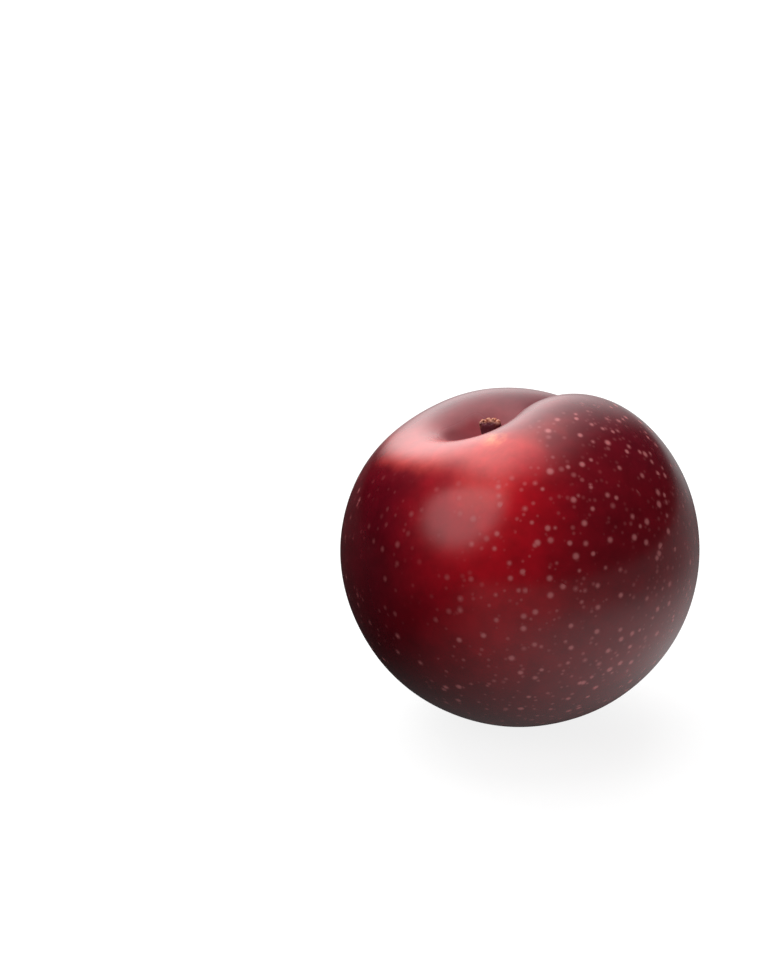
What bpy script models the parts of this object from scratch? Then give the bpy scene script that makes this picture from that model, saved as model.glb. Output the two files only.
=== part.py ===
"""A ripe red plum, picked without its stalk, standing on a small flat spot near its blossom end.

Run it with: blender --background --python part.py
Everything is in metres, +Z up. The origin is the middle of the flat spot that the plum rests on.
The skin is worked out in the fruit's own axes, with the stalk end up +Z and the seam (suture)
down the +X side, and an empty then leans the whole fruit the way it lies.
"""

import math

import bmesh
import bpy
from mathutils import Euler, Vector

MM = 0.001

# Driving dimensions of the flesh
CHEEK_RADIUS = 30.2 * MM
STALK_HALF_HEIGHT = 28.9 * MM
BLOSSOM_HALF_HEIGHT = 29.5 * MM
SEAM_WIDTH_SHARE = 0.985

# The hollow at the stalk end: a wide bowl with a narrower, steeper pit in it
BOWL_DROP = 8.8 * MM
BOWL_SPREAD = 12.8 * MM
BOWL_STEEPNESS = 1.7
PIT_DROP = 2.3 * MM
PIT_SPREAD = 7.8 * MM
PIT_STEEPNESS = 2.9

# The seam that runs from the hollow over the shoulder to the blossom end
SEAM_SHOULDER_DEPTH = 3.9 * MM
SEAM_SHOULDER_POLAR = math.radians(30)
SEAM_SHOULDER_SPREAD = math.radians(22)
SEAM_CHEEK_DEPTH = 0.7 * MM
SEAM_HALF_WIDTH = 4.1 * MM
SEAM_ROUNDING = 0.35

# Round the stalk, the seam and the lobes die away within this distance of the axis
CALM_RADIUS = 4.0 * MM

# The two lobes that swell up beside the seam, near the hollow
LOBE_AZIMUTH = math.radians(66)
LOBE_BREADTH = math.radians(57)
LOBE_POLAR = math.radians(42)
LOBE_SPREAD = math.radians(39)
NEAR_LOBE_RISE = 0.4 * MM
FAR_LOBE_RISE = 1.2 * MM
NEAR_LOBE_CROWDING = 0.36
FAR_LOBE_CROWDING = 0.17

# The small dimple at the blossom end
BLOSSOM_DIMPLE_DEPTH = 0.7 * MM
BLOSSOM_DIMPLE_SPREAD = 3.2 * MM

# How the fruit lies: the seam's bearing round the stalk axis, then the lean of that axis
SEAM_BEARING = math.radians(36)
LEAN_LEFT = math.radians(13.3)
LEAN_BACK = math.radians(4.9)
FLAT_DEPTH = 0.4 * MM

# What is left of the stalk, and the plain hole that it stands in
STUB_RADIUS = 2.1 * MM
STUB_HEIGHT = 5.7 * MM
STUB_HOLLOW_RADIUS = 1.1 * MM
STUB_HOLLOW_DEPTH = 0.9 * MM
STUB_TORN_DEPTH = 1.3 * MM
STUB_TEAR_AZIMUTH = math.radians(40)
STUB_TEAR_RISE = 0.35 * MM
STUB_CRUMBS = (5, 8, 13)
STUB_CRUMB_RISE = 0.13 * MM
STUB_SIDE_RIBS = 5
STUB_SIDE_RIB_SHARE = 0.03
STUB_SINK = 0.9 * MM
STUB_CLEARANCE = 0.3 * MM

# Facets
SKIN_SEGMENTS = 72
SKIN_RINGS = 50
SEAM_CROWDING = 0.45
POLE_CROWDING = 0.35
STUB_SEGMENTS = 36
HOLE_SEGMENTS = 48

SKIN_COLOUR = (0.16, 0.008, 0.016, 1.0)
CORK_COLOUR = (0.36, 0.19, 0.07, 1.0)


def bell(distance, spread):
    """1 at no distance, falling smoothly to nothing past about two spreads."""
    return math.exp(-((distance / spread) ** 2))


def bell_round(angle, breadth):
    """A bell on an angle round the fruit, which closes smoothly on itself."""
    return math.exp(2 * (math.cos(angle) - 1) / breadth**2)


def seam_depth(polar):
    """How far the seam lies below the lobes beside it, at this angle from the stalk end."""
    cheek = SEAM_CHEEK_DEPTH * math.sin(polar)
    return cheek + SEAM_SHOULDER_DEPTH * bell(polar - SEAM_SHOULDER_POLAR, SEAM_SHOULDER_SPREAD)


def by_lobe(azimuth, near, far):
    """A value for each of the two lobes beside the seam, fading out round the fruit."""
    near_share = bell_round(azimuth + LOBE_AZIMUTH, LOBE_BREADTH)
    far_share = bell_round(azimuth - LOBE_AZIMUTH, LOBE_BREADTH)
    return near * near_share + far * far_share


def cavity_drop(across, azimuth):
    """How far the hollow at the stalk end falls below the egg shape. The lobes crowd into it."""
    across /= 1 - by_lobe(azimuth, NEAR_LOBE_CROWDING, FAR_LOBE_CROWDING)
    bowl = BOWL_DROP * math.exp(-((across / BOWL_SPREAD) ** BOWL_STEEPNESS))
    return bowl + PIT_DROP * math.exp(-((across / PIT_SPREAD) ** PIT_STEEPNESS))


def skin_point(polar, azimuth):
    """A point of the skin in the fruit's own axes. Azimuth 0 is the seam."""
    half_height = STALK_HALF_HEIGHT if polar < math.pi / 2 else BLOSSOM_HALF_HEIGHT
    across = CHEEK_RADIUS * math.sin(polar)
    up = half_height * math.cos(polar)

    swell = by_lobe(azimuth, NEAR_LOBE_RISE, FAR_LOBE_RISE) * bell(polar - LOBE_POLAR, LOBE_SPREAD)
    off_seam = across * math.sin(azimuth) / SEAM_HALF_WIDTH
    if math.cos(azimuth) > 0:
        valley = math.exp(SEAM_ROUNDING - math.hypot(off_seam, SEAM_ROUNDING))
        swell -= seam_depth(polar) * valley * math.cos(azimuth) ** 2
    swell *= 1 - bell(across, CALM_RADIUS)
    across += swell * math.sin(polar)
    up += swell * math.cos(polar)

    if polar < math.pi / 2:
        up -= cavity_drop(across, azimuth)
    else:
        up += BLOSSOM_DIMPLE_DEPTH * bell(across, BLOSSOM_DIMPLE_SPREAD)
    return Vector((SEAM_WIDTH_SHARE * across * math.cos(azimuth), across * math.sin(azimuth), up))


def lean():
    """The turn from the fruit's own axes to how it lies."""
    spin = Euler((0, 0, SEAM_BEARING)).to_matrix()
    return Euler((-LEAN_BACK, -LEAN_LEFT, 0)).to_matrix() @ spin


def lowest_point(turn):
    """The lowest point of the leaned skin, found by looking ever closer round the best point so far."""
    polar, azimuth, reach = 0.9 * math.pi, 0.0, math.pi
    for _ in range(12):
        tries = [
            (polar + reach * row / 12, azimuth + reach * column / 12)
            for row in range(-12, 13)
            for column in range(-12, 13)
        ]
        tries = [(p, a) for p, a in tries if math.pi / 2 <= p <= math.pi]
        polar, azimuth = min(tries, key=lambda place: (turn @ skin_point(*place)).z)
        reach /= 3
    return turn @ skin_point(polar, azimuth)


def collection(name):
    made = bpy.data.collections.new(name)
    bpy.context.scene.collection.children.link(made)
    return made


def material(name, colour, roughness):
    made = bpy.data.materials.new(name)
    made.use_nodes = True
    shader = made.node_tree.nodes["Principled BSDF"]
    shader.inputs["Base Color"].default_value = colour
    shader.inputs["Roughness"].default_value = roughness
    shader.inputs["Metallic"].default_value = 0.0
    return made


def add_object(name, mesh, home, parent=None, finish=None):
    """Links a named object to its collection, smooth shaded, in its parent's axes."""
    made = bpy.data.objects.new(name, mesh)
    made.parent = parent
    home.objects.link(made)
    mesh.shade_smooth()
    if finish:
        mesh.materials.append(finish)
    return made


def mesh_from(bm, name):
    mesh = bpy.data.meshes.new(name)
    bm.to_mesh(mesh)
    bm.free()
    return mesh


def cut_away(target, cutter):
    """Takes the cutter's shape out of the target, and hides the cutter from the render."""
    cutter.hide_render = True
    cutter.display_type = "WIRE"
    cut = target.modifiers.new(cutter.name, "BOOLEAN")
    cut.operation = "DIFFERENCE"
    cut.solver = "EXACT"
    cut.object = cutter


def skin_mesh():
    """A sphere pushed out to the skin, with its facets crowded towards the seam and both ends."""
    bm = bmesh.new()
    bmesh.ops.create_uvsphere(bm, u_segments=SKIN_SEGMENTS, v_segments=SKIN_RINGS, radius=1)
    for vert in bm.verts:
        polar = math.acos(max(-1.0, min(1.0, vert.co.z)))
        azimuth = math.atan2(vert.co.y, vert.co.x)
        polar -= POLE_CROWDING * math.sin(2 * polar) / 2
        azimuth -= SEAM_CROWDING * math.sin(azimuth)
        vert.co = skin_point(polar, azimuth)
    return mesh_from(bm, "fruit")


def stub_mesh(base):
    """The dry corky ring left of the stalk, turned from a profile. Its torn rim is crumbly and slants."""
    top = base + STUB_HEIGHT
    profile = [
        (0, base),
        (0.85 * STUB_RADIUS, base),
        (STUB_RADIUS, base + 0.2 * STUB_HEIGHT),
        (0.9 * STUB_RADIUS, base + 0.5 * STUB_HEIGHT),
        (0.94 * STUB_RADIUS, base + 0.85 * STUB_HEIGHT),
        (0.8 * STUB_RADIUS, top),
        (1.15 * STUB_HOLLOW_RADIUS, top - 0.4 * STUB_HOLLOW_DEPTH),
        (0.8 * STUB_HOLLOW_RADIUS, top - 0.8 * STUB_HOLLOW_DEPTH),
        (0, top - STUB_HOLLOW_DEPTH),
    ]
    bm = bmesh.new()
    points = [bm.verts.new((radius, 0, height)) for radius, height in profile]
    edges = [bm.edges.new(pair) for pair in zip(points, points[1:])]
    bmesh.ops.spin(
        bm,
        geom=points + edges,
        axis=(0, 0, 1),
        cent=(0, 0, 0),
        angle=2 * math.pi,
        steps=STUB_SEGMENTS,
        use_merge=True,
    )
    bmesh.ops.remove_doubles(bm, verts=bm.verts, dist=0.001 * MM)
    bmesh.ops.recalc_face_normals(bm, faces=bm.faces)
    for vert in bm.verts:
        azimuth = math.atan2(vert.co.y, vert.co.x)
        share = max(0.0, 1 - (top - vert.co.z) / STUB_TORN_DEPTH)
        ring = min(1.0, vert.co.xy.length / STUB_HOLLOW_RADIUS)
        crumbs = sum(math.sin(count * azimuth + count) for count in STUB_CRUMBS)
        tear = STUB_TEAR_RISE * math.cos(azimuth - STUB_TEAR_AZIMUTH) + STUB_CRUMB_RISE * crumbs
        vert.co.z += tear * share * ring
        vert.co.xy *= 1 - STUB_SIDE_RIB_SHARE * ring * math.cos(STUB_SIDE_RIBS * azimuth + 1)
    return mesh_from(bm, "stalk_stub")


def cylinder_mesh(name, radius, bottom, top):
    bm = bmesh.new()
    bmesh.ops.create_cone(
        bm, cap_ends=True, segments=HOLE_SEGMENTS, radius1=radius, radius2=radius, depth=top - bottom
    )
    bmesh.ops.translate(bm, verts=bm.verts, vec=(0, 0, (top + bottom) / 2))
    return mesh_from(bm, name)


def slab_mesh(name, half_width, thickness):
    """A box whose top face lies at height zero."""
    bm = bmesh.new()
    bmesh.ops.create_cube(bm, size=1)
    bmesh.ops.scale(bm, verts=bm.verts, vec=(2 * half_width, 2 * half_width, thickness))
    bmesh.ops.translate(bm, verts=bm.verts, vec=(0, 0, -thickness / 2))
    return mesh_from(bm, name)


def main():
    for leftover in list(bpy.data.objects):
        bpy.data.objects.remove(leftover)
    plum = collection("plum")
    cutters = collection("cutters")

    turn = lean()
    fruit_axes = bpy.data.objects.new("fruit_axes", None)
    fruit_axes.rotation_euler = turn.to_euler()
    fruit_axes.location = -lowest_point(turn) - Vector((0, 0, FLAT_DEPTH))
    plum.objects.link(fruit_axes)

    fruit = add_object("fruit", skin_mesh(), plum, fruit_axes, material("skin", SKIN_COLOUR, 0.35))

    stub_base = skin_point(0, 0).z - STUB_SINK
    cork = material("cork", CORK_COLOUR, 0.85)
    add_object("stalk_stub", stub_mesh(stub_base), plum, fruit_axes, cork)

    hole = cylinder_mesh(
        "stub_hole", STUB_RADIUS + STUB_CLEARANCE, stub_base - STUB_CLEARANCE, CHEEK_RADIUS
    )
    cut_away(fruit, add_object("stub_hole", hole, cutters, fruit_axes))
    surface = slab_mesh("rest_surface", 2 * CHEEK_RADIUS, CHEEK_RADIUS)
    cut_away(fruit, add_object("rest_surface", surface, cutters))


main()
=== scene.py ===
"""The looks of a ripe red plum that rests on a small flat spot, its stalk end leaning to the left.

Everything is in metres, in the frame of the solids: +Z up, the origin in the middle of the flat spot.
"""
import math
import random

import bmesh
import bpy
from bpy.props import FloatProperty, FloatVectorProperty, IntProperty, PointerProperty
from mathutils import Euler, Matrix, Vector, noise


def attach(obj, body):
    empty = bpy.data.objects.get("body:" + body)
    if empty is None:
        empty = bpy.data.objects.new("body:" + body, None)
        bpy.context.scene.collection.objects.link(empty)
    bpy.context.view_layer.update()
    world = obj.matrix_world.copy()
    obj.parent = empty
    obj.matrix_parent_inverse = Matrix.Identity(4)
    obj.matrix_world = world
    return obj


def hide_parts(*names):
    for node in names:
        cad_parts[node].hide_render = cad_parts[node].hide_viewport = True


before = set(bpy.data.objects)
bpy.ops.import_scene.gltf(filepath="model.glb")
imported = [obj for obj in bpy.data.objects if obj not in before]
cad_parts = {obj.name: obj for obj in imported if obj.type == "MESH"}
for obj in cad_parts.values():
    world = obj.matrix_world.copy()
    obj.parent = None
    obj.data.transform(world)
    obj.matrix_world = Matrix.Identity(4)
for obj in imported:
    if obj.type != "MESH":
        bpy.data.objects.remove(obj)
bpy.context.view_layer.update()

bl_info = {
    "name": "Plum",
    "version": (1, 0, 0),
    "blender": (4, 5, 0),
    "location": "View3D > Sidebar > Plum",
    "description": "Grows the skin and the dry stalk stub of a plum, and sets its stage",
    "category": "Add Mesh",
}

MM = 0.001

# The shape of the fruit, as the solids have it
SEAM_WIDTH_SHARE = 0.985
BOWL_STEEPNESS = 1.7
PIT_STEEPNESS = 2.9
SEAM_SHOULDER_POLAR = math.radians(30)
SEAM_SHOULDER_SPREAD = math.radians(22)
SEAM_CHEEK_DEPTH = 0.7 * MM
SEAM_HALF_WIDTH = 4.1 * MM
SEAM_ROUNDING = 0.35
CALM_RADIUS = 4.0 * MM
LOBE_AZIMUTH = math.radians(66)
LOBE_BREADTH = math.radians(57)
LOBE_POLAR = math.radians(42)
LOBE_SPREAD = math.radians(39)
NEAR_LOBE_RISE = 0.4 * MM
FAR_LOBE_RISE = 1.2 * MM
NEAR_LOBE_CROWDING = 0.36
FAR_LOBE_CROWDING = 0.17
BLOSSOM_DIMPLE_DEPTH = 0.7 * MM
BLOSSOM_DIMPLE_SPREAD = 3.2 * MM
FLAT_DEPTH = 0.4 * MM
FLAT_ROUNDING = 0.1 * MM

# The skin's slow unevenness, inwards of the solid, and its crinkled collar round the stub
SKIN_INSET = 0.03 * MM
SWELL_LENGTH = 13.0 * MM
SWELL_DEPTH = 0.16 * MM
COLLAR_RADIUS = 3.0 * MM
COLLAR_WIDTH = 0.5 * MM
COLLAR_RISE = 0.22 * MM
COLLAR_CRINKLE = 0.4
COLLAR_LARGEST_POLAR = 0.5

# How closely the skin's faces crowd at the seam and at both ends
SEAM_CROWDING = 0.45
POLE_CROWDING = 0.35

# Fields of colour on the skin. A bearing is an azimuth from the front, + to the right, and an elevation, in
# degrees. A reach is how far from there a patch is whole, and how far off it has gone. Every other pair is
# where a field starts and where it is whole.
DRIFT_LENGTH = 8 * MM
DRIFT_REACH = 9 * MM
BACK_BEARING = (150, 50)
BACK_REACH = (50, 73)
# Painted shade: the left side of the skin is painted dark red
LEFT_SHADE_BEARING = (-75, -17)
LEFT_SHADE_REACH = (30, 67)
UNDERSIDE = (-9, -42)
UNDERSIDE_SHARE = 0.8
# The red streak down the front: the skin's own red, brightened by painted light where the round front lamp
# falls
STREAK_LEFT = (-58, -2)
STREAK_RIGHT = (31, -21)
STREAK_HEIGHT = (-48, 60)
CAP_REACH = (37, 46)
CAP_RIGHT = (55, 4)
CAP_LEFT = (-140, -62)
CAP_SHARE = 0.65
PALE_BEARING = (-21, 44)
PALE_REACH = (3, 14)
PALE_SHARE = 0.45
CREST_BEARING = (10, 80)
CREST_REACH = (9, 25)
CREST_SHARE = 0.9
STRAW_BEARING = (-24, 59)
STRAW_REACH = (0, 5.5)
STRAW_MOTTLE = (0.3, 0.7)
STRAW_SHARE = 0.8
MOTTLE_LENGTH = 3.5 * MM
MOTTLE_TINT = (0.78, 1.22)

# Fields in and round the stalk hollow, as distances from the stalk, along the seam and beside it
HOLLOW = (11.5 * MM, 6.5 * MM)
NEAR_LIP = (16.5 * MM, 12.5 * MM)
NEAR_LIP_SIDE = (-2 * MM, -6 * MM)
NEAR_LIP_SHARE = 0.35
# The floor of the pit round the stub: duller, and darker by painted shade where the lip hides it
PIT = (9.2 * MM, 6.8 * MM)
PIT_FAR_SIDE = (7.6 * MM, 5.6 * MM)
PIT_SEAM_SIDE = (3.5 * MM, 0.3 * MM)
PIT_SHADE_SHARE = 0.7
# Painted shadow of the near lip, darkest at one end of the pit along the seam
PIT_SHADOW_END = (-1 * MM, -4 * MM)
PIT_SHADOW_SHARE = 0.5
PIT_DULLNESS = 0.5

# The pale dots: their two sizes, and where they are faint, large, few or missing
BIG_CELL = 2.0 * MM
BIG_RADIUS = 0.8 * MM
FINE_CELL = 1.35 * MM
FINE_RADIUS = 0.52 * MM
DOT_EDGE = (1.0, 0.1)
FAINT_BEARING = (-50, 18)
FAINT_REACH = (18, 48)
LARGE_BEARING = (45, 35)
LARGE_REACH = (12, 40)
LARGE_GROWTH = 0.15
FEW_SIDE = (0.35, -0.6)
FEW_SHARE = 0.55
FEW_STEP = (0.0, 0.35)
LOW_DOWN = (-25, -55)
BARE_REACH = (42, 56)
BARE_RIGHT = (25, -5)
BARE_LEFT = (-150, -110)
BARE_RIM = (19 * MM, 14 * MM)

# The gloss of the skin
SKIN_ROUGHNESS = 0.19
BLOOM_LENGTH = 5 * MM
GRAIN_LENGTH = 0.35 * MM
GRAIN_HEIGHT = 0.05 * MM

# The stalk stub
STUB_SINK = 0.9 * MM
STUB_HOLLOW_RADIUS = 1.1 * MM
STUB_HOLLOW_DEPTH = 1.0 * MM
STUB_TORN_DEPTH = 1.3 * MM
STUB_TEAR_AZIMUTH = math.radians(140)
STUB_TEAR_RISE = 0.25 * MM
STUB_SEGMENTS = 48
LUMP_HEIGHT = 0.3 * MM
LUMP_LENGTH = 0.55 * MM
FIBRE_HEIGHT = 0.16 * MM
FIBRE_LENGTH = 0.22 * MM
RIB_LENGTH = 0.4 * MM
RIB_SHARE = 0.05

# The crumbs on its rim, each value between two limits: how far out they lie, as a share of the stub's radius,
# their own radius in millimetres, their stretches and their turns
CRUMB_SEED = 7
CRUMB_RING = (0.6, 0.82)
CRUMB_RADIUS = (0.12, 0.28)
CRUMB_WIDTH_STRETCH = (0.8, 1.5)
CRUMB_HEIGHT_STRETCH = (0.7, 1.2)
CRUMB_TURN = (-0.5, 0.5)
CRUMB_SINK = 0.02 * MM

# Where the stub is dark: in its hollow, and painted shade low on its side and towards the front left. And the
# grain of its cork
STUB_DARK_AZIMUTH = math.radians(-140)
STUB_DARK_RADIUS = 0.8 * MM
STUB_DARK_EDGE = 0.6 * MM
STUB_PALE_BAND = 0.3 * MM
STUB_PALE_EDGE = 0.35 * MM
CORK_LENGTH = 0.5 * MM
CORK_MOTTLE = (0.38, 0.56)
CORK_HEIGHT = 0.12 * MM

# The lights: a round one in front on the left, and a panel that slopes down behind the fruit. An edge is
# where a light or the lit floor starts and where it is whole.
AIM = Vector((0, 0, 0.03))
KEY_BEARING = (-56.3, 41.7)
KEY_DISTANCE = 0.9
KEY_RADIUS = 0.38
KEY_EDGE = (1.26 * KEY_RADIUS, 0.74 * KEY_RADIUS)
KEY_CARD_RADIUS = 1.3 * KEY_RADIUS
PANEL_SIZE = (0.8, 1.6)
PANEL_MIDDLE = Vector((-0.155, 0.6, 0.415))
PANEL_FACING = Vector((0, 0.429, 0.903))
PANEL_EVENNESS = 0.86
PANEL_CARD_HALF = 1.2
PANEL_LEFT_EDGE = (-0.47, -0.2)
PANEL_LEFT_SPLAY = 0.08
PANEL_RIGHT_EDGE = (0.4, -0.35)
PANEL_RIGHT_SPLAY = -0.22
PANEL_FRONT_EDGE = (-0.43, 0.16)
PANEL_BACK_EDGE = (0.3, 1.6)
PANEL_BACK_DIMMING = 0.8

# The floor: a lit pool on the right, a strip behind, and shade under the fruit
FLOOR_RADIUS = 6
FLOOR_GREY = (0.2, 0.2, 0.2)
FLOOR_WHITE = 0.85
FAR_OFF = (0.1, 0.5)
FAR_WHITE_RISE = 0.2
POOL_MIDDLE = (0.045, -0.03, 0)
POOL_RADIUS = 0.057
POOL_SURROUND = 0.38
LIT_SLANT = -0.7
LIT_EDGE = (-0.042, 0.05)
BEHIND_START = (0.08, 0.2)
BEHIND_SLANT = 0.22
BEHIND_EDGE = (-0.03, 0.03)
CONTACT_MIDDLE = (0.005, 0.004, 0)
CONTACT_EDGE = (0.004, 0.037)


class PlumShape(bpy.types.PropertyGroup):
    """The sizes of the fruit and of its stub"""

    cheek_radius: FloatProperty(
        name="Cheek radius",
        description="Half the width at the cheeks",
        default=30.2 * MM,
        unit="LENGTH",
    )
    stalk_half: FloatProperty(
        name="Stalk half",
        description="Height above the cheeks, hollow left out",
        default=28.9 * MM,
        unit="LENGTH",
    )
    blossom_half: FloatProperty(
        name="Blossom half", description="Height below the cheeks", default=29.5 * MM, unit="LENGTH"
    )
    bowl_drop: FloatProperty(
        name="Hollow depth",
        description="How far the wide stalk hollow falls",
        default=8.8 * MM,
        unit="LENGTH",
    )
    bowl_spread: FloatProperty(
        name="Hollow radius",
        description="How wide the stalk hollow is",
        default=12.8 * MM,
        unit="LENGTH",
    )
    pit_drop: FloatProperty(
        name="Pit depth",
        description="How much deeper the pit round the stalk is",
        default=2.3 * MM,
        unit="LENGTH",
    )
    pit_spread: FloatProperty(
        name="Pit radius",
        description="How wide the pit round the stalk is",
        default=7.8 * MM,
        unit="LENGTH",
    )
    seam_depth: FloatProperty(
        name="Seam depth",
        description="Depth of the seam on the shoulder",
        default=3.9 * MM,
        unit="LENGTH",
    )
    seam_bearing: FloatProperty(
        name="Seam bearing",
        description="Where the seam runs round the stalk",
        default=math.radians(36),
        unit="ROTATION",
    )
    lean_left: FloatProperty(
        name="Lean left",
        description="Lean of the stalk to the left",
        default=math.radians(13.3),
        unit="ROTATION",
    )
    lean_back: FloatProperty(
        name="Lean back",
        description="Lean of the stalk to the back",
        default=math.radians(4.9),
        unit="ROTATION",
    )
    stub_radius: FloatProperty(
        name="Stub radius",
        description="Half the width of the stalk stub",
        default=2.1 * MM,
        unit="LENGTH",
    )
    stub_height: FloatProperty(
        name="Stub height",
        description="Height of the stub from its sunk foot",
        default=5.7 * MM,
        unit="LENGTH",
    )
    skin_segments: IntProperty(name="Skin segments", description="Faces round the skin", default=320)
    skin_rings: IntProperty(name="Skin rings", description="Faces from end to end", default=216)
    crumbs: IntProperty(name="Crumbs", description="Crumbs on the torn rim of the stub", default=34)


class PlumColours(bpy.types.PropertyGroup):
    """The colours of the skin and of the stub"""

    crimson: FloatVectorProperty(
        name="Crimson",
        description="Body of the skin",
        subtype="COLOR",
        default=(0.185, 0.0035, 0.0105),
    )
    # Darkest red: the skin low down, and painted shade on the left side and at one end of the pit
    dark_red_and_shade: FloatVectorProperty(
        name="Dusk",
        description="Darkest skin, low down and on the left",
        subtype="COLOR",
        default=(0.092, 0.0015, 0.0065),
    )
    purple: FloatVectorProperty(
        name="Purple",
        description="Ripe skin behind the hollow",
        subtype="COLOR",
        default=(0.134, 0.004, 0.013),
    )
    # Red of the front streak: the skin's red, and painted light from the round front lamp
    red: FloatVectorProperty(
        name="Red",
        description="Bright streak down the front",
        subtype="COLOR",
        default=(0.70, 0.002, 0.012),
    )
    tomato: FloatVectorProperty(
        name="Tomato",
        description="Palest red skin on the lip of the hollow",
        subtype="COLOR",
        default=(0.61, 0.042, 0.036),
    )
    straw: FloatVectorProperty(
        name="Straw",
        description="Unripe patch beside the stub",
        subtype="COLOR",
        default=(0.80, 0.26, 0.10),
    )
    wine: FloatVectorProperty(
        name="Wine",
        description="Skin inside the stalk hollow",
        subtype="COLOR",
        default=(0.249, 0.028, 0.038),
    )
    dots: FloatVectorProperty(
        name="Dots",
        description="Pale breathing dots of the skin",
        subtype="COLOR",
        default=(0.66, 0.19, 0.20),
    )
    cork: FloatVectorProperty(
        name="Cork",
        description="Dry torn rim of the stub",
        subtype="COLOR",
        default=(0.40, 0.09, 0.035),
    )
    pale_cork: FloatVectorProperty(
        name="Pale cork",
        description="Freshly torn fibres",
        subtype="COLOR",
        default=(0.74, 0.34, 0.22),
    )
    # Dark hollow of the stub, also the painted shade on its low and front sides
    dark_hollow_and_shade: FloatVectorProperty(
        name="Withered",
        description="Dark hollow of the stub",
        subtype="COLOR",
        default=(0.105, 0.013, 0.024),
    )


class PlumStage(bpy.types.PropertyGroup):
    """The camera, the lights and the floor"""

    elevation: FloatProperty(
        name="Elevation",
        description="Camera above the horizon",
        default=math.radians(19.8),
        unit="ROTATION",
    )
    distance: FloatProperty(
        name="Distance", description="Camera to the middle of the fruit", default=0.5, unit="LENGTH"
    )
    key: FloatProperty(name="Key", description="Radiance of the round front light", default=2.0)
    panel: FloatProperty(name="Panel", description="Radiance of the sloping light behind", default=3.4)
    floor_glow: FloatProperty(
        name="Floor glow",
        description="Radiance of the lit floor right of the fruit",
        default=0.64,
    )
    far_floor_glow: FloatProperty(
        name="Far floor glow",
        description="Radiance of the floor behind",
        default=0.5,
    )
    fill: FloatProperty(name="Fill", description="Light from all round, on matt surfaces", default=0.15)
    gleam: FloatProperty(name="Gleam", description="Light from all round, in reflections", default=0.007)


def bell(distance, spread):
    """1 at no distance, falling smoothly to nothing past about two spreads."""
    return math.exp(-((distance / spread) ** 2))


def bell_round(angle, breadth):
    """A bell on an angle round the fruit, which closes smoothly on itself."""
    return math.exp(2 * (math.cos(angle) - 1) / breadth**2)


def by_lobe(azimuth, near, far):
    """A value for each of the two lobes beside the seam, fading out round the fruit."""
    near_share = bell_round(azimuth + LOBE_AZIMUTH, LOBE_BREADTH)
    far_share = bell_round(azimuth - LOBE_AZIMUTH, LOBE_BREADTH)
    return near * near_share + far * far_share


def valley(across, azimuth):
    """1 in the bottom of the seam, falling to nothing beside it."""
    if math.cos(azimuth) <= 0:
        return 0.0
    off_seam = across * math.sin(azimuth) / SEAM_HALF_WIDTH
    return math.exp(SEAM_ROUNDING - math.hypot(off_seam, SEAM_ROUNDING)) * math.cos(azimuth) ** 2


def hollow_drop(shape, across, azimuth):
    """How far the hollow at the stalk end falls below the egg shape. The lobes crowd into it."""
    across /= 1 - by_lobe(azimuth, NEAR_LOBE_CROWDING, FAR_LOBE_CROWDING)
    bowl = shape.bowl_drop * math.exp(-((across / shape.bowl_spread) ** BOWL_STEEPNESS))
    return bowl + shape.pit_drop * math.exp(-((across / shape.pit_spread) ** PIT_STEEPNESS))


def skin_point(shape, polar, azimuth):
    """A point of the skin in the fruit's own axes. Azimuth 0 is the seam."""
    half_height = shape.stalk_half if polar < math.pi / 2 else shape.blossom_half
    across = shape.cheek_radius * math.sin(polar)
    up = half_height * math.cos(polar)
    swell = by_lobe(azimuth, NEAR_LOBE_RISE, FAR_LOBE_RISE) * bell(polar - LOBE_POLAR, LOBE_SPREAD)
    seam = SEAM_CHEEK_DEPTH * math.sin(polar)
    seam += shape.seam_depth * bell(polar - SEAM_SHOULDER_POLAR, SEAM_SHOULDER_SPREAD)
    swell -= seam * valley(across, azimuth)
    swell *= 1 - bell(across, CALM_RADIUS)
    across += swell * math.sin(polar)
    up += swell * math.cos(polar)
    if polar < math.pi / 2:
        up -= hollow_drop(shape, across, azimuth)
    else:
        up += BLOSSOM_DIMPLE_DEPTH * bell(across, BLOSSOM_DIMPLE_SPREAD)
    return Vector((SEAM_WIDTH_SHARE * across * math.cos(azimuth), across * math.sin(azimuth), up))


def lean(shape):
    """The turn from the fruit's own axes to how it lies."""
    spin = Euler((0, 0, shape.seam_bearing)).to_matrix()
    return Euler((-shape.lean_back, -shape.lean_left, 0)).to_matrix() @ spin


def middle(shape):
    """Where the middle of the fruit is. Its lowest point lies under the origin, by the flat spot's depth."""
    turn = lean(shape)
    polar, azimuth, reach, steps = 0.9 * math.pi, 0.0, math.pi, 12
    for _ in range(steps):
        tries = [
            (polar + reach * row / steps, azimuth + reach * column / steps)
            for row in range(-steps, steps + 1)
            for column in range(-steps, steps + 1)
        ]
        tries = [(p, a) for p, a in tries if math.pi / 2 <= p <= math.pi]
        polar, azimuth = min(tries, key=lambda place: (turn @ skin_point(shape, *place)).z)
        reach /= 3
    return -(turn @ skin_point(shape, polar, azimuth)) - Vector((0, 0, FLAT_DEPTH))


def skin_detail(shape, polar, azimuth):
    """How far the skin stands in from the solid: slow unevenness, less the collar round the stub."""
    point = skin_point(shape, polar, azimuth)
    unevenness = 0.5 + 0.5 * noise.noise(point / SWELL_LENGTH)
    across = point.xy.length
    collar = bell(across - COLLAR_RADIUS, COLLAR_WIDTH) if polar < COLLAR_LARGEST_POLAR else 0.0
    crinkle = 1 + COLLAR_CRINKLE * noise.noise(point / MM)
    return SKIN_INSET + SWELL_DEPTH * unevenness - COLLAR_RISE * collar * crinkle


def lay_flat(height):
    """Keeps a height above the rest surface, with a small rounding where the skin meets it."""
    return (height + math.hypot(height, FLAT_ROUNDING)) / 2


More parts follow.
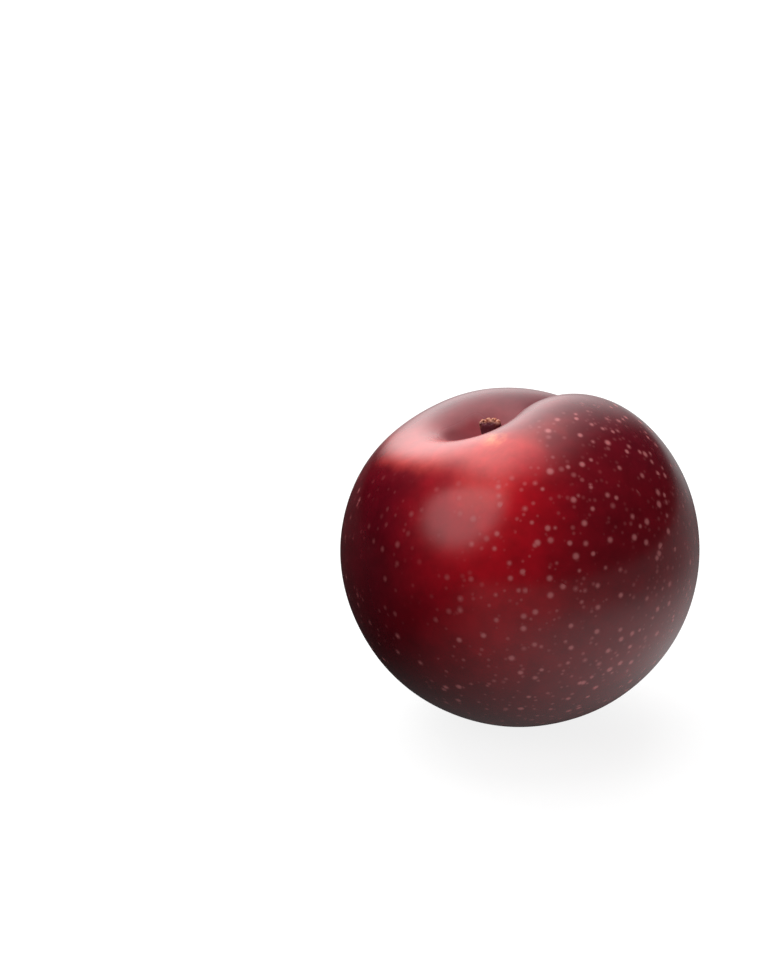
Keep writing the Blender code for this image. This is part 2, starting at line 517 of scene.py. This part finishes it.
def new_object(name, bm, finish):
    """Makes the mesh a smooth object of the scene."""
    mesh = bpy.data.meshes.new(name)
    bm.to_mesh(mesh)
    bm.free()
    mesh.shade_smooth()
    mesh.materials.append(finish)
    made = bpy.data.objects.new(name, mesh)
    bpy.context.scene.collection.objects.link(made)
    return made


def new_piece(name, bm, node, finish):
    """Makes the mesh a piece that rides with the fruit and stands for a CAD node."""
    piece = new_object(name, bm, finish)
    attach(piece, "root")
    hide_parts(node)


def new_prop(name, bm, finish):
    """Makes the mesh a part of the stage."""
    prop = new_object(name, bm, finish)
    return prop


class Wire:
    """A node's output that takes part in Python expressions. Each operator adds a Math node."""

    def __init__(self, bench, socket):
        self.bench = bench
        self.socket = socket

    def __add__(self, other):
        return self.bench.maths("ADD", self, other)

    def __radd__(self, other):
        return self.bench.maths("ADD", other, self)

    def __sub__(self, other):
        return self.bench.maths("SUBTRACT", self, other)

    def __rsub__(self, other):
        return self.bench.maths("SUBTRACT", other, self)

    def __mul__(self, other):
        return self.bench.maths("MULTIPLY", self, other)

    def __rmul__(self, other):
        return self.bench.maths("MULTIPLY", other, self)

    def __truediv__(self, other):
        return self.bench.maths("DIVIDE", self, other)

    def __pow__(self, other):
        return self.bench.maths("POWER", self, other)

    def __rpow__(self, other):
        return self.bench.maths("POWER", other, self)

    def above(self, low, high):
        """0 below low and 1 above high, with a smooth step between. High may be the lower one."""
        return self.bench.node(
            "ShaderNodeMapRange",
            {"interpolation_type": "SMOOTHSTEP"},
            {"Value": self, "From Min": low, "From Max": high},
        )


class Bench:
    """Builds the nodes of one material, or of the world."""

    def __init__(self, owner, shader="Principled BSDF"):
        owner.use_nodes = True
        self.owner = owner
        self.tree = owner.node_tree
        self.shader = self.tree.nodes[shader]

    def node(self, kind, settings=None, inputs=None, output=0):
        """Adds a node, with its settings first and then its sockets' values or links."""
        made = self.tree.nodes.new(kind)
        for name, value in (settings or {}).items():
            setattr(made, name, value)
        for name, value in (inputs or {}).items():
            self.feed(made.inputs[name], value)
        return Wire(self, made.outputs[output])

    def feed(self, socket, value):
        """Links a wire to a socket, or sets the socket's own value."""
        if isinstance(value, Wire):
            self.tree.links.new(value.socket, socket)
        elif socket.type == "RGBA" and len(value) == 3:
            socket.default_value = (*value, 1.0)
        else:
            socket.default_value = value

    def maths(self, operation, *terms):
        """Works out one value from others."""
        return self.node("ShaderNodeMath", {"operation": operation}, dict(enumerate(terms)))

    def vector(self, operation, *terms, output=0):
        """Works out a vector from others, or one value where the output is 1."""
        return self.node("ShaderNodeVectorMath", {"operation": operation}, dict(enumerate(terms)), output)

    def dot(self, first, second):
        """How far one vector reaches along another."""
        return self.vector("DOT_PRODUCT", first, second, output=1)

    def distance(self, first, second):
        return self.vector("DISTANCE", first, second, output=1)

    def axes(self, vector):
        """The three parts of a vector: right, back and up."""
        return [self.node("ShaderNodeSeparateXYZ", {}, {"Vector": vector}, axis) for axis in range(3)]

    def mix(self, share, first, second):
        """Mixes two colours."""
        settings = {"data_type": "RGBA", "clamp_factor": True}
        return self.node("ShaderNodeMix", settings, {0: share, 6: first, 7: second}, output=2)

    def tint(self, colour, factor):
        """Multiplies a colour by a grey factor."""
        settings = {"data_type": "RGBA", "blend_type": "MULTIPLY", "clamp_factor": True}
        return self.node("ShaderNodeMix", settings, {0: 1.0, 6: colour, 7: factor}, output=2)

    def grey(self, value):
        """The grey colour of this value."""
        return self.node("ShaderNodeCombineColor", {}, {0: value, 1: value, 2: value})

    def bump(self, height, strength, distance):
        """Small relief that only the light shows."""
        inputs = {"Strength": strength, "Distance": distance, "Height": height}
        return self.node("ShaderNodeBump", {}, inputs)

    def place(self):
        """Where a point lies in the frame."""
        return self.node("ShaderNodeTexCoord", output=3)

    def painted(self, name):
        """A value that the mesh carries at its points."""
        return self.node("ShaderNodeAttribute", {"attribute_name": name}, output=2)

    def noise(self, place, length, detail=2.0, roughness=0.5):
        """Noise from 0 to 1 whose lumps are about this long."""
        inputs = {"Vector": place, "Scale": 1 / length, "Detail": detail, "Roughness": roughness}
        return self.node("ShaderNodeTexNoise", {}, inputs)

    def finish(self, **inputs):
        """Feeds the shader's sockets, named with _ for each space."""
        for name, value in inputs.items():
            self.feed(self.shader.inputs[name.replace("_", " ")], value)
        return self.owner


def bearing(azimuth, elevation):
    """A direction from the middle of the fruit. Azimuth is in degrees from the front, + to the right."""
    azimuth, elevation = math.radians(azimuth), math.radians(elevation)
    level = math.cos(elevation)
    return Vector((level * math.sin(azimuth), -level * math.cos(azimuth), math.sin(elevation)))


class Skin:
    """Where a point of the skin lies, seen from the middle of the fruit and from its stalk."""

    def __init__(self, bench, shape):
        turn = lean(shape)
        self.bench = bench
        self.place = bench.place()
        self.stalk = turn @ Vector((0, 0, 1))
        self.from_stalk = bench.painted("from_stalk")
        out = bench.vector("SUBTRACT", self.place, middle(shape))
        self.along_seam = bench.dot(out, turn @ Vector((1, 0, 0)))
        self.beside_seam = bench.dot(out, turn @ Vector((0, 1, 0)))
        self.out = bench.vector("NORMALIZE", bench.vector("ADD", out, self.drift()))
        self.right, back, up = bench.axes(self.out)
        self.azimuth = bench.maths("ARCTAN2", self.right, back * -1) * (180 / math.pi)
        self.elevation = bench.maths("ARCSINE", up) * (180 / math.pi)

    def drift(self):
        """A slow wandering, which keeps the fields of colour from having even edges."""
        inputs = {"Vector": self.place, "Scale": 1 / DRIFT_LENGTH, "Detail": 3.0}
        drift = self.bench.node("ShaderNodeTexNoise", {}, inputs, output=1)
        drift = self.bench.vector("SUBTRACT", drift, (0.5, 0.5, 0.5))
        return self.bench.vector("MULTIPLY", drift, (DRIFT_REACH, DRIFT_REACH, DRIFT_REACH))

    def patch(self, towards, reach):
        """1 close to a direction and 0 far from it."""
        inner, outer = reach
        facing = self.bench.dot(self.out, towards)
        return facing.above(math.cos(math.radians(outer)), math.cos(math.radians(inner)))


def skin_colour(skin, pit, colours):
    """Crimson with a red streak in front, partly painted light from the front lamp, and a paler lip; darker
    below and in the hollow, with painted shade on the left and in the pit.
    """
    bench = skin.bench
    streak = skin.azimuth.above(*STREAK_LEFT) * skin.azimuth.above(*STREAK_RIGHT)
    streak = streak * skin.elevation.above(*STREAK_HEIGHT)
    cap = skin.patch(skin.stalk, CAP_REACH)
    cap = cap * skin.azimuth.above(*CAP_RIGHT) * skin.azimuth.above(*CAP_LEFT)
    near_lip = skin.from_stalk.above(*NEAR_LIP) * skin.beside_seam.above(*NEAR_LIP_SIDE)
    mottle = bench.noise(skin.place, MOTTLE_LENGTH, detail=5.0, roughness=0.62)
    unripe = skin.patch(bearing(*STRAW_BEARING), STRAW_REACH) * mottle.above(*STRAW_MOTTLE)
    layers = (
        (skin.patch(bearing(*BACK_BEARING), BACK_REACH), colours.purple),
        # painted shade on the left side
        (skin.patch(bearing(*LEFT_SHADE_BEARING), LEFT_SHADE_REACH), colours.dark_red_and_shade),
        (skin.elevation.above(*UNDERSIDE) * UNDERSIDE_SHARE, colours.dark_red_and_shade),
        # the red streak, partly painted light from the front lamp
        (streak, colours.red),
        (cap * CAP_SHARE, colours.tomato),
        (skin.patch(bearing(*PALE_BEARING), PALE_REACH) * PALE_SHARE, colours.tomato),
        (skin.patch(bearing(*CREST_BEARING), CREST_REACH) * CREST_SHARE, colours.purple),
        (skin.from_stalk.above(*HOLLOW), colours.wine),
        (near_lip * NEAR_LIP_SHARE, colours.wine),
        # painted shade on the floor of the pit
        (pit * PIT_SHADE_SHARE, colours.crimson),
        # painted shadow of the near lip at the end of the pit
        (pit * skin.along_seam.above(*PIT_SHADOW_END) * PIT_SHADOW_SHARE, colours.dark_red_and_shade),
        (unripe * STRAW_SHARE, colours.straw),
    )
    colour = colours.crimson
    for share, over in layers:
        colour = bench.mix(share, colour, over)
    darkest, palest = MOTTLE_TINT
    inputs = {"Value": mottle, "From Min": 0.25, "From Max": 0.75, "To Min": darkest, "To Max": palest}
    return bench.tint(colour, bench.node("ShaderNodeMapRange", {}, inputs))


def dots(skin, large, cell, radius, strength):
    """Round dots in cells of this size. Each cell has its own size of dot, and most on the left have none."""
    settings = {"voronoi_dimensions": "3D", "feature": "F1"}
    inputs = {"Vector": skin.place, "Scale": 1 / cell}
    distance = skin.bench.node("ShaderNodeTexVoronoi", settings, inputs)
    lot = skin.bench.node("ShaderNodeTexVoronoi", settings, inputs, output=1)
    lot = skin.bench.node("ShaderNodeSeparateColor", {}, {"Color": lot})
    size = radius / cell * (0.5 + 0.5 * lot) * (1 + LARGE_GROWTH * large)
    kept = (lot - FEW_SHARE * skin.right.above(*FEW_SIDE)).above(*FEW_STEP)
    return (distance / size).above(*DOT_EDGE) * strength * kept


def skin_dots(skin):
    """Pale dots, faint on the left and below, larger on the right, none on the near lip and in the hollow."""
    bench = skin.bench
    faint = skin.patch(bearing(*FAINT_BEARING), FAINT_REACH)
    large = skin.patch(bearing(*LARGE_BEARING), LARGE_REACH)
    low_down = skin.elevation.above(*LOW_DOWN)
    bare = skin.patch(skin.stalk, BARE_REACH)
    bare = bare * skin.azimuth.above(*BARE_RIGHT) * skin.azimuth.above(*BARE_LEFT)
    bare = bench.maths("MAXIMUM", bare, skin.from_stalk.above(*BARE_RIM))
    big = dots(skin, large, BIG_CELL, BIG_RADIUS, 0.8 - 0.55 * faint - 0.35 * low_down)
    fine = dots(skin, large, FINE_CELL, FINE_RADIUS, 0.36 - 0.26 * faint - 0.22 * large)
    return bench.maths("MAXIMUM", big, fine) * (1 - bare)


def skin_finish(shape, colours):
    """Glossy skin with breathing dots and a thin bloom, dull and darkened by painted shade on the floor of
    the hollow.
    """
    bench = Bench(bpy.data.materials.new("plum_skin"))
    skin = Skin(bench, shape)
    # The floor of the pit: dull, and darkened by painted shade
    pit = skin.from_stalk.above(*PIT) * skin.beside_seam.above(*PIT_FAR_SIDE)
    pit = pit * skin.along_seam.above(*PIT_SEAM_SIDE)
    dot = skin_dots(skin)
    colour = bench.mix(dot, skin_colour(skin, pit, colours), colours.dots)
    grain = bench.noise(skin.place, GRAIN_LENGTH)
    bump = bench.bump(0.35 * grain + 0.6 * dot, strength=0.12, distance=GRAIN_HEIGHT)
    dusting = bench.noise(skin.place, BLOOM_LENGTH, detail=5.0, roughness=0.65)
    roughness = SKIN_ROUGHNESS + 0.06 * dusting + 0.15 * dot + PIT_DULLNESS * pit
    return bench.finish(Base_Color=colour, Roughness=roughness, Normal=bump)


def stub_finish(colours):
    """Dry cork: brown and pale on the torn rim, dark in its hollow, with painted shade low down and in front.
    """
    bench = Bench(bpy.data.materials.new("dry_cork"))
    place = bench.place()
    crumb = bench.noise(place, CORK_LENGTH, detail=5.0, roughness=0.7)
    colour = bench.mix(crumb.above(*CORK_MOTTLE), colours.cork, colours.pale_cork)
    colour = bench.mix(bench.painted("dark_hollow_and_shade"), colour, colours.dark_hollow_and_shade)
    bump = bench.bump(crumb, strength=0.4, distance=CORK_HEIGHT)
    return bench.finish(Base_Color=colour, Roughness=0.7 + 0.2 * crumb, Normal=bump)


class PLUM_OT_skin(bpy.types.Operator):
    """Grow the skin of the plum over its solid"""

    bl_idname = "plum.skin"
    bl_label = "Grow skin"

    def execute(self, context):
        shape = context.scene.plum_shape
        turn, centre = lean(shape), middle(shape)
        bm = bmesh.new()
        bmesh.ops.create_uvsphere(bm, u_segments=shape.skin_segments, v_segments=shape.skin_rings, radius=1)
        from_stalk = bm.verts.layers.float.new("from_stalk")
        for vert in bm.verts:
            out = vert.co.normalized()
            polar = math.acos(max(-1.0, min(1.0, vert.co.z)))
            azimuth = math.atan2(vert.co.y, vert.co.x)
            polar -= POLE_CROWDING * math.sin(2 * polar) / 2
            azimuth -= SEAM_CROWDING * math.sin(azimuth)
            point = skin_point(shape, polar, azimuth) - out * skin_detail(shape, polar, azimuth)
            vert[from_stalk] = point.xy.length if polar < math.pi / 2 else shape.cheek_radius
            vert.co = turn @ point + centre
            vert.co.z = lay_flat(vert.co.z)
        bmesh.ops.recalc_face_normals(bm, faces=bm.faces)
        new_piece("skin", bm, "fruit", skin_finish(shape, context.scene.plum_colours))
        return {"FINISHED"}


class PLUM_OT_stub(bpy.types.Operator):
    """Set the dry, torn stalk stub in the hollow"""

    bl_idname = "plum.stub"
    bl_label = "Set stub"

    def execute(self, context):
        shape = context.scene.plum_shape
        draw = random.Random(CRUMB_SEED)
        foot = skin_point(shape, 0, 0).z - STUB_SINK
        top = foot + shape.stub_height
        profile = [
            (0.0, foot),
            (0.85 * shape.stub_radius, foot),
            (0.98 * shape.stub_radius, foot + 0.2 * shape.stub_height),
            (0.86 * shape.stub_radius, foot + 0.5 * shape.stub_height),
            (0.86 * shape.stub_radius, foot + 0.85 * shape.stub_height),
            (0.84 * shape.stub_radius, top - 0.15 * MM),
            (0.72 * shape.stub_radius, top),
            (STUB_HOLLOW_RADIUS, top - 0.3 * MM),
            (0.85 * STUB_HOLLOW_RADIUS, top - 0.8 * STUB_HOLLOW_DEPTH),
            (0.0, top - STUB_HOLLOW_DEPTH),
        ]
        bm = bmesh.new()
        points = [bm.verts.new((radius, 0, height)) for radius, height in profile]
        edges = [bm.edges.new(pair) for pair in zip(points, points[1:])]
        bmesh.ops.spin(
            bm,
            geom=points + edges,
            axis=(0, 0, 1),
            cent=(0, 0, 0),
            angle=2 * math.pi,
            steps=STUB_SEGMENTS,
            use_merge=True,
        )
        bmesh.ops.remove_doubles(bm, verts=bm.verts, dist=0.001 * MM)
        bmesh.ops.subdivide_edges(bm, edges=bm.edges, cuts=2, use_grid_fill=True, smooth=0.3)
        for vert in bm.verts:
            self.tear(shape, vert, foot)
        for _ in range(shape.crumbs):
            self.crumb(shape, bm, draw, top)
        bmesh.ops.recalc_face_normals(bm, faces=bm.faces)
        # How dark each point is: its hollow, and painted shade on the low and front sides
        dark_hollow_and_shade = bm.verts.layers.float.new("dark_hollow_and_shade")
        turn, centre = lean(shape), middle(shape)
        for vert in bm.verts:
            vert[dark_hollow_and_shade] = self.hollow_and_shade(shape, vert.co, top)
            vert.co = turn @ vert.co + centre
        new_piece("stalk_stub_dry", bm, "stalk_stub", stub_finish(context.scene.plum_colours))
        return {"FINISHED"}

    def tear(self, shape, vert, foot):
        """Makes a smooth turned point ragged: the rim slants and crumbles, and the side is ribbed."""
        azimuth = math.atan2(vert.co.y, vert.co.x)
        share = max(0.0, 1 - (foot + shape.stub_height - vert.co.z) / STUB_TORN_DEPTH)
        ring = min(1.0, vert.co.xy.length / STUB_HOLLOW_RADIUS)
        ragged = LUMP_HEIGHT * noise.noise(vert.co / LUMP_LENGTH)
        ragged += FIBRE_HEIGHT * noise.noise(vert.co / FIBRE_LENGTH)
        vert.co.z += (self.slant(azimuth) + ragged) * share * ring
        vert.co.xy *= 1 - RIB_SHARE * ring * (0.5 + noise.noise(vert.co / RIB_LENGTH))

    def slant(self, azimuth):
        """How much higher the torn rim stands on one side than on the other."""
        return STUB_TEAR_RISE * math.cos(azimuth - STUB_TEAR_AZIMUTH)

    def crumb(self, shape, bm, draw, top):
        """Adds one crumb or short torn fibre on the rim."""
        azimuth = draw.uniform(-math.pi, math.pi)
        radius = shape.stub_radius * draw.uniform(*CRUMB_RING)
        size = draw.uniform(*CRUMB_RADIUS) * MM
        made = bmesh.ops.create_icosphere(bm, subdivisions=1, radius=size)["verts"]
        stretches = (CRUMB_WIDTH_STRETCH, CRUMB_WIDTH_STRETCH, CRUMB_HEIGHT_STRETCH)
        bmesh.ops.scale(bm, verts=made, vec=[draw.uniform(*stretch) for stretch in stretches])
        turn = Euler([draw.uniform(*CRUMB_TURN) for _ in range(3)]).to_matrix()
        bmesh.ops.rotate(bm, verts=made, cent=(0, 0, 0), matrix=turn)
        height = top + self.slant(azimuth) - CRUMB_SINK
        at = (radius * math.cos(azimuth), radius * math.sin(azimuth), height)
        bmesh.ops.translate(bm, verts=made, vec=at)

    def hollow_and_shade(self, shape, point, top):
        """How dark the stub is: in its hollow, and with painted shade low on its side and towards the front
        left.
        """
        inside = 1 - min(1.0, max(0.0, (point.xy.length - STUB_DARK_RADIUS) / STUB_DARK_EDGE))
        low = min(1.0, max(0.0, (top - STUB_PALE_BAND - point.z) / STUB_PALE_EDGE))
        side = 0.5 + 0.5 * math.cos(math.atan2(point.y, point.x) - STUB_DARK_AZIMUTH)
        return min(1.0, max(inside, low, 1.8 * side - 0.7))


def lamp(name, shape, size, radiance, at, direction):
    """An area lamp of a given radiance, which lights matt surfaces and shows in no reflection."""
    light = bpy.data.lights.new(name, "AREA")
    light.shape = shape
    light.size, light.size_y = size
    area = size[0] * size[1] * (math.pi / 4 if shape == "DISK" else 1)
    light.energy = radiance * area * math.pi
    made = bpy.data.objects.new(name, light)
    bpy.context.scene.collection.objects.link(made)
    made.location = at
    made.rotation_mode = "QUATERNION"
    made.rotation_quaternion = direction.to_track_quat("-Z", "Y")
    made.visible_camera = False
    made.visible_glossy = False


class PLUM_OT_stage(bpy.types.Operator):
    """Set the camera, the lights and the floor"""

    bl_idname = "plum.stage"
    bl_label = "Set stage"

    # Where the middle of the fruit is in the photograph's frame, and the lens in its pixels
    FRAME_WIDTH, FRAME_HEIGHT = 768, 960
    MIDDLE_X, MIDDLE_Y = 519.3, 549.9
    LENS_PIXELS = 3000.0
    SENSOR = 36.0

    def execute(self, context):
        stage, shape = context.scene.plum_stage, context.scene.plum_shape
        self.camera(context, stage, middle(shape))
        self.lights(stage)
        self.floor(stage)
        self.world(context, stage)
        context.scene.view_settings.view_transform = "Standard"
        return {"FINISHED"}

    def camera(self, context, stage, centre):
        back = Vector((0, -math.cos(stage.elevation), math.sin(stage.elevation)))
        up = Vector((0, math.sin(stage.elevation), math.cos(stage.elevation)))
        right = Vector((1, 0, 0))
        metres = stage.distance / self.LENS_PIXELS
        aside = (self.MIDDLE_X - self.FRAME_WIDTH / 2) * metres
        below = (self.MIDDLE_Y - self.FRAME_HEIGHT / 2) * metres
        data = bpy.data.cameras.new("camera")
        data.sensor_width = self.SENSOR
        data.lens = self.LENS_PIXELS / self.FRAME_HEIGHT * self.SENSOR
        camera = bpy.data.objects.new("camera", data)
        turn = Matrix((right, up, back)).transposed().to_4x4()
        at = centre + back * stage.distance - right * aside + up * below
        camera.matrix_world = Matrix.Translation(at) @ turn
        context.scene.collection.objects.link(camera)
        context.scene.camera = camera

    def lights(self, stage):
        """Two lamps for the matt part of the light, and two soft-edged cards for the reflections."""
        towards_key = bearing(*KEY_BEARING)
        key = AIM + towards_key * KEY_DISTANCE
        lamp("key", "DISK", (2 * KEY_RADIUS, 2 * KEY_RADIUS), stage.key, key, -towards_key)
        lamp("panel", "RECTANGLE", PANEL_SIZE, stage.panel * PANEL_EVENNESS, PANEL_MIDDLE, -PANEL_FACING)

        def key_glow(bench, place):
            return stage.key * bench.distance(place, key).above(*KEY_EDGE)

        bm = bmesh.new()
        bmesh.ops.create_circle(bm, cap_ends=True, segments=48, radius=KEY_CARD_RADIUS)
        self.card("key_card", bm, key, towards_key, key_glow)

        def panel_glow(bench, place):
            right, back, _ = bench.axes(place)
            left_edge = (right + PANEL_LEFT_SPLAY * back).above(*PANEL_LEFT_EDGE)
            right_edge = (right + PANEL_RIGHT_SPLAY * back).above(*PANEL_RIGHT_EDGE)
            along = back.above(*PANEL_FRONT_EDGE) * (1 - PANEL_BACK_DIMMING * back.above(*PANEL_BACK_EDGE))
            return stage.panel * left_edge * right_edge * along

        bm = bmesh.new()
        bmesh.ops.create_grid(bm, x_segments=1, y_segments=1, size=PANEL_CARD_HALF)
        self.card("panel_card", bm, PANEL_MIDDLE, PANEL_FACING, panel_glow)

    def card(self, name, bm, at, facing, glow):
        """A glowing card that only reflections see."""
        turn = facing.to_track_quat("Z", "Y").to_matrix()
        bmesh.ops.rotate(bm, verts=bm.verts, cent=(0, 0, 0), matrix=turn)
        bmesh.ops.translate(bm, verts=bm.verts, vec=at)
        bench = Bench(bpy.data.materials.new(name))
        bright = bench.grey(glow(bench, bench.place()))
        finish = bench.finish(Base_Color=(0, 0, 0), Emission_Color=bright, Emission_Strength=1.0)
        card = new_prop(name, bm, finish)
        card.visible_camera = False
        card.visible_diffuse = False
        card.visible_shadow = False

    def floor(self, stage):
        """White to the camera, while the fruit sees it lit on the right and behind, and dark on the left."""
        bm = bmesh.new()
        bmesh.ops.create_circle(bm, cap_ends=True, segments=64, radius=FLOOR_RADIUS)
        bench = Bench(bpy.data.materials.new("floor_white"))
        place = bench.place()
        right, back, _ = bench.axes(place)
        pool = math.e ** (bench.distance(place, POOL_MIDDLE) ** 2 * (-1 / POOL_RADIUS**2))
        unshaded = bench.distance(place, CONTACT_MIDDLE).above(*CONTACT_EDGE)
        lit_side = (right + LIT_SLANT * back).above(*LIT_EDGE)
        behind = back.above(*BEHIND_START) * (right + BEHIND_SLANT * back).above(*BEHIND_EDGE)
        behind = behind * (1 - lit_side)
        glow = stage.floor_glow * (POOL_SURROUND + pool) * lit_side + stage.far_floor_glow * behind
        white = FLOOR_WHITE + FAR_WHITE_RISE * bench.distance(place, (0, 0, 0)).above(*FAR_OFF)
        seen = bench.node("ShaderNodeLightPath", output=0)
        glow = bench.grey(glow * unshaded * (1 - seen) + seen * white)
        grey = bench.mix(seen, (0, 0, 0), FLOOR_GREY)
        finish = bench.finish(Base_Color=grey, Roughness=1.0, Emission_Color=glow, Emission_Strength=1.0)
        new_prop("floor", bm, finish)

    def world(self, context, stage):
        """White to the camera, dim to matt surfaces and nearly dark in reflections."""
        bench = Bench(bpy.data.worlds.new("studio"), "Background")
        seen = bench.node("ShaderNodeLightPath", output=0)
        mirrored = bench.node("ShaderNodeLightPath", output=3)
        strength = seen + (1 - seen) * (stage.fill + (stage.gleam - stage.fill) * mirrored)
        context.scene.world = bench.finish(Color=(1, 1, 1), Strength=strength)


class PLUM_PT_panel(bpy.types.Panel):
    """Lists the operators and the sizes"""

    bl_idname = "PLUM_PT_panel"
    bl_label = "Plum"
    bl_space_type = "VIEW_3D"
    bl_region_type = "UI"
    bl_category = "Plum"

    def draw(self, context):
        for operator in OPERATORS:
            self.layout.operator(operator.bl_idname)
        for group in ("plum_shape", "plum_colours", "plum_stage"):
            settings = getattr(context.scene, group)
            for name in settings.__annotations__:
                self.layout.prop(settings, name)


OPERATORS = (PLUM_OT_skin, PLUM_OT_stub, PLUM_OT_stage)
CLASSES = (PlumShape, PlumColours, PlumStage, *OPERATORS, PLUM_PT_panel)


def register():
    for made in CLASSES:
        bpy.utils.register_class(made)
    bpy.types.Scene.plum_shape = PointerProperty(type=PlumShape)
    bpy.types.Scene.plum_colours = PointerProperty(type=PlumColours)
    bpy.types.Scene.plum_stage = PointerProperty(type=PlumStage)


def unregister():
    for name in ("plum_shape", "plum_colours", "plum_stage"):
        delattr(bpy.types.Scene, name)
    for made in reversed(CLASSES):
        bpy.utils.unregister_class(made)


def main():
    register()
    bpy.ops.plum.skin()
    bpy.ops.plum.stub()
    bpy.ops.plum.stage()


if __name__ == "__main__":
    main()
